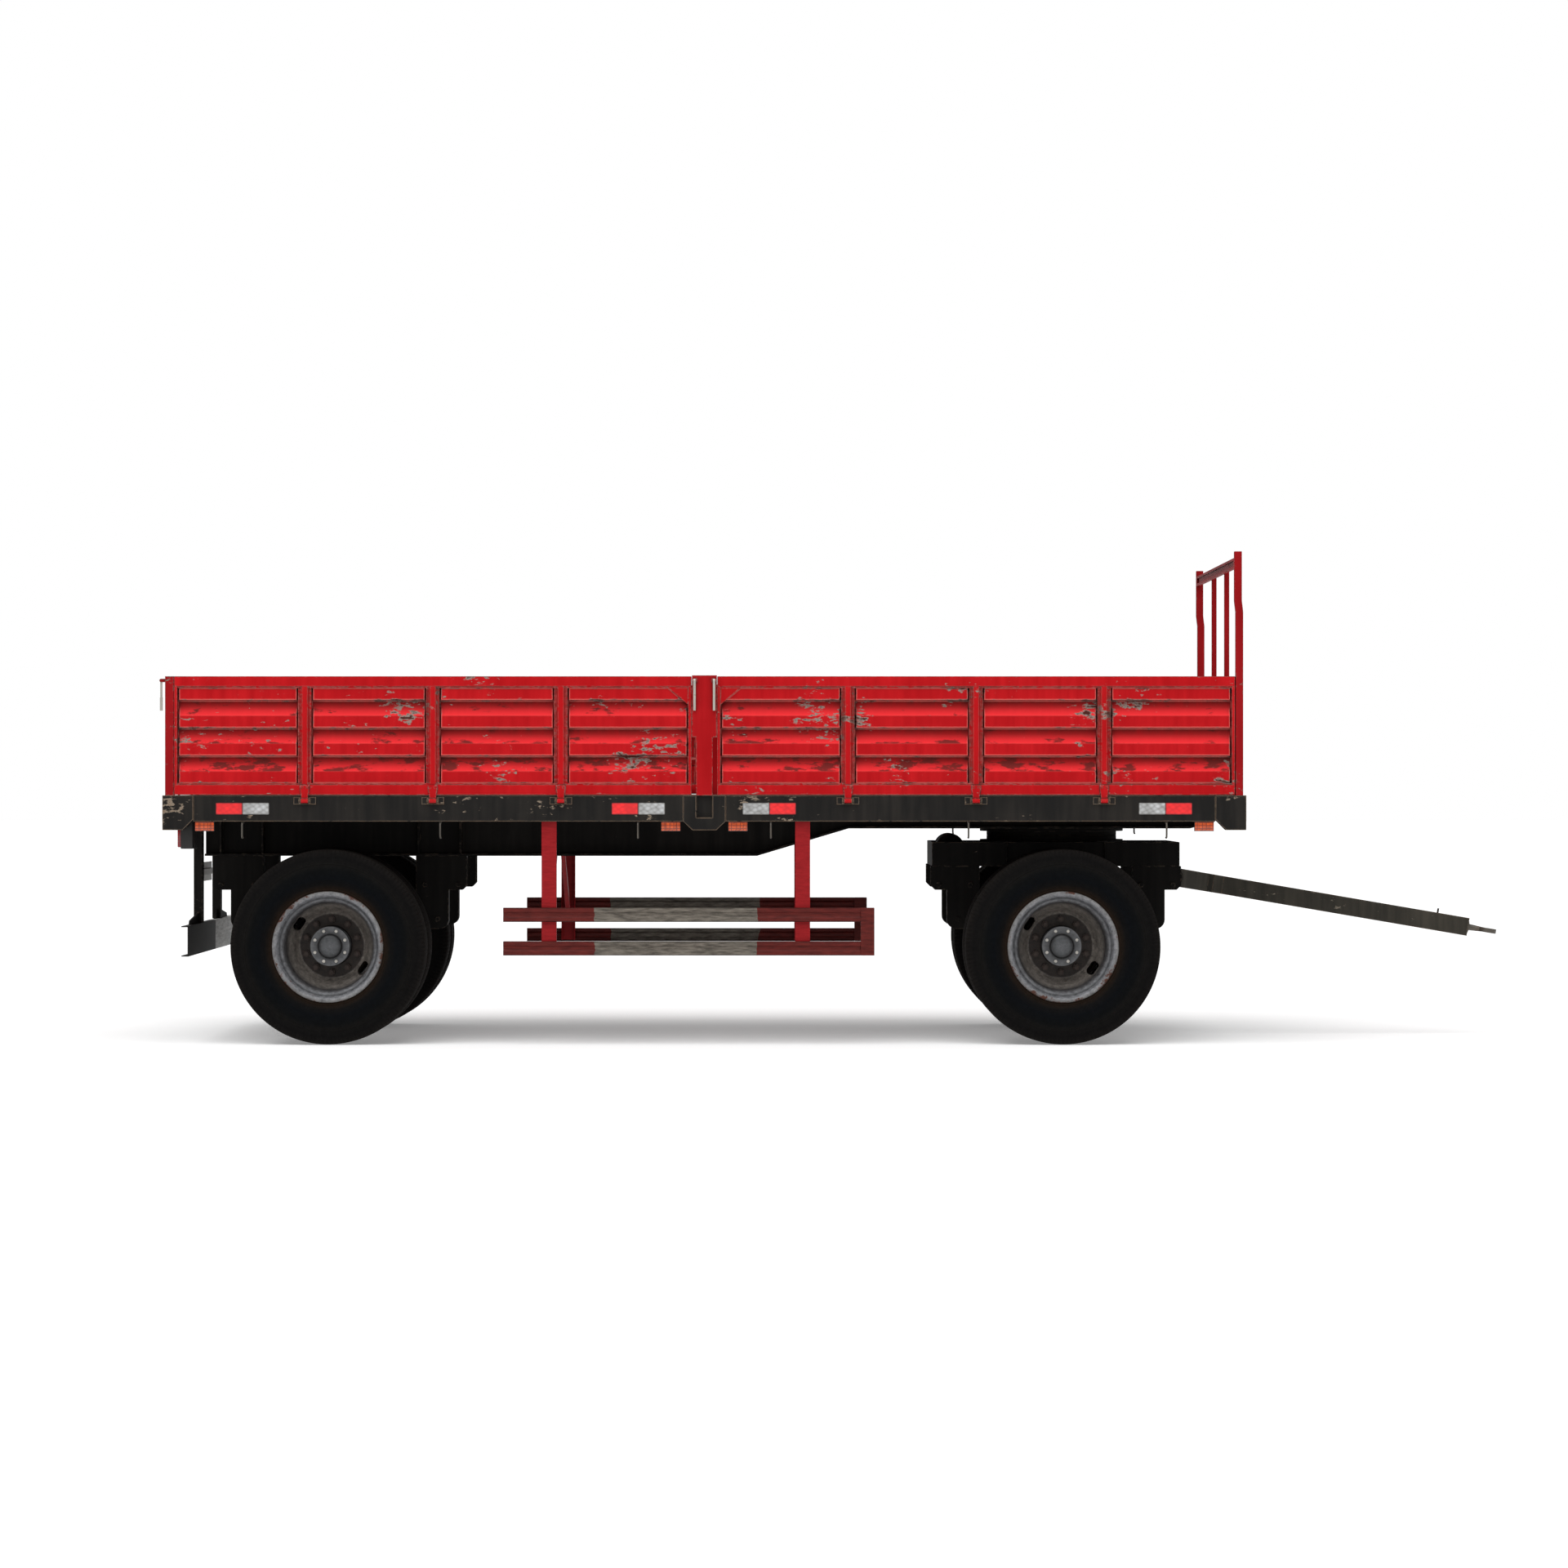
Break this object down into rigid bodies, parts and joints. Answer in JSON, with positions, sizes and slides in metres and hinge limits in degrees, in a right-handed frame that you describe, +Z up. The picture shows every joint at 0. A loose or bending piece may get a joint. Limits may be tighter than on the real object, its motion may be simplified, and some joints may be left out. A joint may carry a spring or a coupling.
{
  "type": "drop-side drawbar trailer",
  "caption": "Full trailer with fixed rear axle, turntable-steered front axle on dual wheels, towing bar, drop-side load bed and ladder rack.",
  "frame": {"origin": "on the ground under the middle of the overall length and width", "axes": "+X forward towards the towing eye, +Y to the trailer's left, +Z up"},
  "size_m": [7.3396, 2.548, 2.646],
  "materials": {
    "chassis_black": "worn satin black",
    "body_red": "chipped gloss red",
    "deck_steel": "scuffed red-brown",
    "guard_paint": "faded red-brown and grey",
    "tyre_rubber": "matt",
    "rim_grey": "satin grey with rust at the lip",
    "hub_iron": "dull",
    "spring_steel": "dull dark",
    "axle_black": "dull black",
    "lever_steel": "satin",
    "reflector": "retroreflective",
    "amber_lens": "clear amber",
    "lamp_red": "clear red",
    "plate": "satin",
    "tank_black": "satin black",
    "bar_paint": "worn grey-brown",
    "forged": "worn bright inside the eye"
  },
  "bodies": {
    "chassis": {"main_beams": "chassis_black", "cross_members": "chassis_black", "side_rails": "chassis_black", "end_rails": "chassis_black", "deck_floor": "deck_steel", "corner_blocks": "chassis_black", "post_sockets": "chassis_black", "centre_posts": "body_red", "rear_posts": "body_red", "rack_uprights": "body_red", "headboard": "body_red", "rack_rail": "body_red", "hinge_brackets": "chassis_black", "rope_hooks": "spring_steel", "reflector_tapes": "reflector", "side_markers": "amber_lens", "tail_lamps": "lamp_red", "number_plate": "plate", "underride_bar": "chassis_black", "underride_uprights": "chassis_black", "guard_rails": "guard_paint", "guard_supports": "body_red", "rear_hangers": "chassis_black", "rear_springs": "spring_steel", "rear_u_bolts": "spring_steel", "rear_axle": "axle_black", "turntable_upper": "chassis_black"},
    "bogie": {"turntable_lower": "chassis_black", "bogie_beams": "chassis_black", "bogie_crossmembers": "chassis_black", "bogie_hangers": "chassis_black", "bogie_springs": "spring_steel", "bogie_u_bolts": "spring_steel", "front_axle": "axle_black", "air_reservoir": "tank_black"},
    "drawbar": {"drawbar_pole": "bar_paint", "towing_eye": "forged"},
    "wheels_front_right": {"tyres_front_right": "tyre_rubber", "rims_front_right": "rim_grey", "hub_front_right": "hub_iron"},
    "wheels_front_left": {"tyres_front_left": "tyre_rubber", "rims_front_left": "rim_grey", "hub_front_left": "hub_iron"},
    "wheels_rear_right": {"tyres_rear_right": "tyre_rubber", "rims_rear_right": "rim_grey", "hub_rear_right": "hub_iron"},
    "wheels_rear_left": {"tyres_rear_left": "tyre_rubber", "rims_rear_left": "rim_grey", "hub_rear_left": "hub_iron"},
    "board_front_right": {"board_front_right": "body_red"},
    "board_front_left": {"board_front_left": "body_red"},
    "board_rear_right": {"board_rear_right": "body_red"},
    "board_rear_left": {"board_rear_left": "body_red"},
    "tailgate": {"tailgate": "body_red"},
    "lever_front_right": {"lever_front_right": "lever_steel"},
    "lever_front_left": {"lever_front_left": "lever_steel"},
    "lever_mid_right": {"lever_mid_right": "lever_steel"},
    "lever_mid_left": {"lever_mid_left": "lever_steel"},
    "lever_tail_right": {"lever_tail_right": "lever_steel"},
    "lever_tail_left": {"lever_tail_left": "lever_steel"}
  },
  "joints": [
    {"name": "turntable_turn", "type": "hinge", "parent": "chassis", "child": "bogie", "pos_m": [1.17592, 0, 1.115], "axis": [0, 0, 1], "range_deg": [-45, 45]},
    {"name": "drawbar_pitch", "type": "hinge", "parent": "bogie", "child": "drawbar", "pos_m": [1.83792, 0, 0.885], "axis": [0, -1, 0], "range_deg": [-17, 24]},
    {"name": "wheels_front_right_spin", "type": "hinge", "parent": "bogie", "child": "wheels_front_right", "pos_m": [1.17592, -0.9255, 0.525], "axis": [0, 1, 0], "continuous": true},
    {"name": "wheels_front_left_spin", "type": "hinge", "parent": "bogie", "child": "wheels_front_left", "pos_m": [1.17592, 0.9255, 0.525], "axis": [0, 1, 0], "continuous": true},
    {"name": "wheels_rear_right_spin", "type": "hinge", "parent": "chassis", "child": "wheels_rear_right", "pos_m": [-2.77008, -0.9255, 0.525], "axis": [0, 1, 0], "continuous": true},
    {"name": "wheels_rear_left_spin", "type": "hinge", "parent": "chassis", "child": "wheels_rear_left", "pos_m": [-2.77008, 0.9255, 0.525], "axis": [0, 1, 0], "continuous": true},
    {"name": "board_front_right_drop", "type": "hinge", "parent": "chassis", "child": "board_front_right", "pos_m": [0.70667, -1.262, 1.31], "axis": [1, 0, 0], "range_deg": [0, 180]},
    {"name": "board_front_left_drop", "type": "hinge", "parent": "chassis", "child": "board_front_left", "pos_m": [0.70667, 1.262, 1.31], "axis": [-1, 0, 0], "range_deg": [0, 180]},
    {"name": "board_rear_right_drop", "type": "hinge", "parent": "chassis", "child": "board_rear_right", "pos_m": [-2.20283, -1.262, 1.31], "axis": [1, 0, 0], "range_deg": [0, 180]},
    {"name": "board_rear_left_drop", "type": "hinge", "parent": "chassis", "child": "board_rear_left", "pos_m": [-2.20283, 1.262, 1.31], "axis": [-1, 0, 0], "range_deg": [0, 180]},
    {"name": "tailgate_drop", "type": "hinge", "parent": "chassis", "child": "tailgate", "pos_m": [-3.65108, 0, 1.31], "axis": [0, -1, 0], "range_deg": [0, 180]},
    {"name": "lever_front_right_swing", "type": "hinge", "parent": "chassis", "child": "lever_front_right", "pos_m": [-0.69608, -1.262, 1.955], "axis": [-1, 0, 0], "range_deg": [0, 110]},
    {"name": "lever_front_left_swing", "type": "hinge", "parent": "chassis", "child": "lever_front_left", "pos_m": [-0.69608, 1.262, 1.955], "axis": [1, 0, 0], "range_deg": [0, 110]},
    {"name": "lever_mid_right_swing", "type": "hinge", "parent": "chassis", "child": "lever_mid_right", "pos_m": [-0.80108, -1.262, 1.955], "axis": [-1, 0, 0], "range_deg": [0, 110]},
    {"name": "lever_mid_left_swing", "type": "hinge", "parent": "chassis", "child": "lever_mid_left", "pos_m": [-0.80108, 1.262, 1.955], "axis": [1, 0, 0], "range_deg": [0, 110]},
    {"name": "lever_tail_right_swing", "type": "hinge", "parent": "chassis", "child": "lever_tail_right", "pos_m": [-3.66008, -1.22, 1.955], "axis": [0, 1, 0], "range_deg": [0, 110]},
    {"name": "lever_tail_left_swing", "type": "hinge", "parent": "chassis", "child": "lever_tail_left", "pos_m": [-3.66008, 1.22, 1.955], "axis": [0, 1, 0], "range_deg": [0, 110]}
  ]
}
